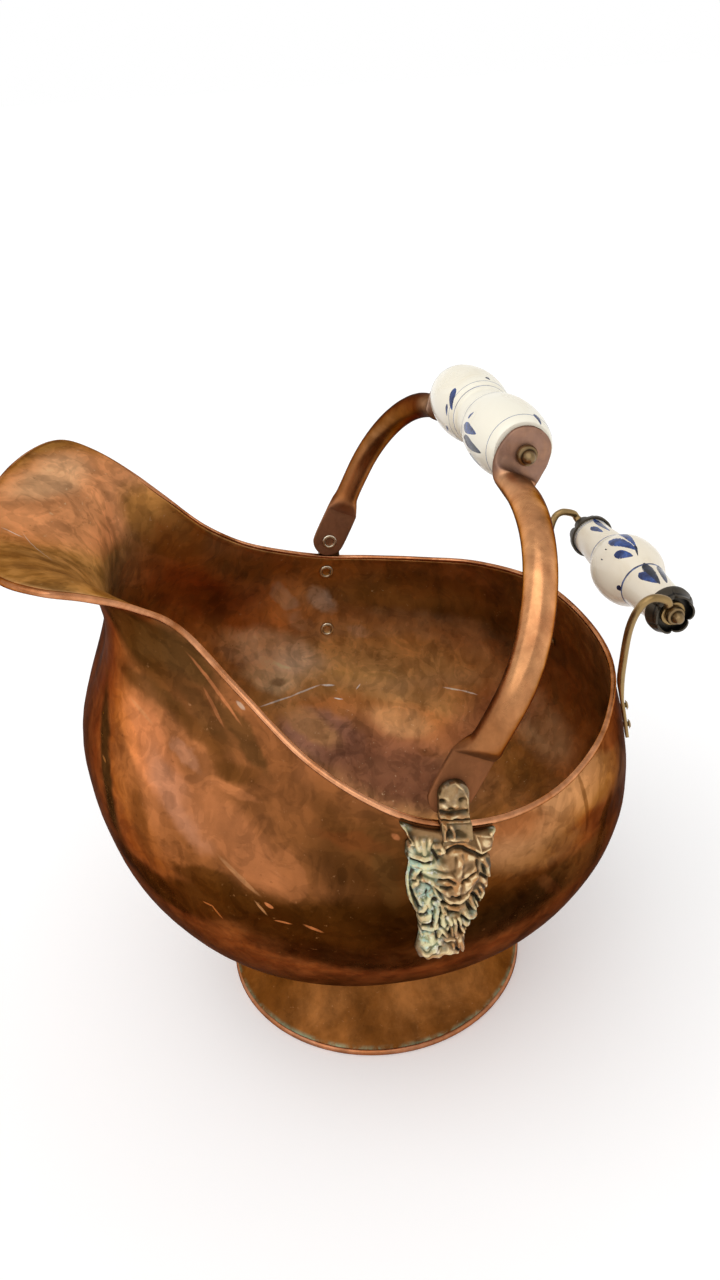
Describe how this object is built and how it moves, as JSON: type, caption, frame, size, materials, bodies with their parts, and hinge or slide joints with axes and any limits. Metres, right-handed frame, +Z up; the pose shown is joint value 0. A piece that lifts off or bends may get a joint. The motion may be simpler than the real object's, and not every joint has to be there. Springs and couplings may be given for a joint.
{
  "type": "coal scuttle",
  "caption": "Helmet-shaped copper coal scuttle on a flared foot, with a pouring spout, a swinging bail handle and a fixed rear handle, both with turning ceramic grips.",
  "frame": {"origin": "on the floor under the middle of the whole length and width", "axes": "+X from the spout to the rear handle, +Y across the bowl along both handles' grips, +Z up"},
  "size_m": [0.3539, 0.3086, 0.3539],
  "materials": {
    "bowl": "patinated copper sheet, warm brown to orange",
    "rim_bead": "worn bright copper",
    "foot_skirt": "dull brown copper sheet",
    "foot_bead": "worn copper",
    "lion_mask_l": "cast brass with green-white patina",
    "lion_mask_r": "cast brass with green-white patina",
    "mask_stud_upper_l": "dull metal",
    "mask_stud_upper_r": "dull metal",
    "mask_stud_lower_l": "dull metal",
    "mask_stud_lower_r": "dull metal",
    "pivot_stud_l": "dull metal",
    "pivot_stud_r": "dull metal",
    "bail_arm_l": "worn copper tube, brown at its flattened ends",
    "bail_arm_r": "worn copper tube, brown at its flattened ends",
    "bail_rod": "plain steel rod",
    "bail_nut_l": "dark antique brass",
    "bail_nut_r": "dark antique brass",
    "bail_grip": "cream glaze with blue painted leaves",
    "rear_bracket_l": "antique brass rod",
    "rear_bracket_r": "antique brass rod",
    "bracket_rivet_lower_l": "antique brass",
    "bracket_rivet_lower_r": "antique brass",
    "bracket_rivet_upper_l": "antique brass",
    "bracket_rivet_upper_r": "antique brass",
    "rear_rod": "plain steel rod",
    "rear_nut_l": "dark antique brass",
    "rear_nut_r": "dark antique brass",
    "rear_ferrule_l": "blackened metal cup",
    "rear_ferrule_r": "blackened metal cup",
    "rear_grip": "cream glaze with blue painted leaves"
  },
  "bodies": {
    "body": {"bowl": "bowl", "rim_bead": "rim_bead", "foot_skirt": "foot_skirt", "foot_bead": "foot_bead", "lion_mask_l": "lion_mask_l", "lion_mask_r": "lion_mask_r", "mask_stud_upper_l": "mask_stud_upper_l", "mask_stud_upper_r": "mask_stud_upper_r", "mask_stud_lower_l": "mask_stud_lower_l", "mask_stud_lower_r": "mask_stud_lower_r", "pivot_stud_l": "pivot_stud_l", "pivot_stud_r": "pivot_stud_r", "rear_bracket_l": "rear_bracket_l", "rear_bracket_r": "rear_bracket_r", "bracket_rivet_lower_l": "bracket_rivet_lower_l", "bracket_rivet_lower_r": "bracket_rivet_lower_r", "bracket_rivet_upper_l": "bracket_rivet_upper_l", "bracket_rivet_upper_r": "bracket_rivet_upper_r", "rear_rod": "rear_rod", "rear_nut_l": "rear_nut_l", "rear_nut_r": "rear_nut_r", "rear_ferrule_l": "rear_ferrule_l", "rear_ferrule_r": "rear_ferrule_r"},
    "bail": {"bail_arm_l": "bail_arm_l", "bail_arm_r": "bail_arm_r", "bail_rod": "bail_rod", "bail_nut_l": "bail_nut_l", "bail_nut_r": "bail_nut_r"},
    "bail_grip": {"bail_grip": "bail_grip"},
    "rear_grip": {"rear_grip": "rear_grip"}
  },
  "joints": [
    {"name": "bail_swing", "type": "hinge", "parent": "body", "child": "bail", "pos_m": [0.0139, 0, 0.22], "axis": [0, 1, 0], "range_deg": [-79, 39]},
    {"name": "bail_grip_spin", "type": "hinge", "parent": "bail", "child": "bail_grip", "pos_m": [0.0758, 0, 0.33545], "axis": [0, 1, 0], "continuous": true},
    {"name": "rear_grip_spin", "type": "hinge", "parent": "body", "child": "rear_grip", "pos_m": [0.158, 0, 0.2396], "axis": [0, 1, 0], "continuous": true}
  ]
}
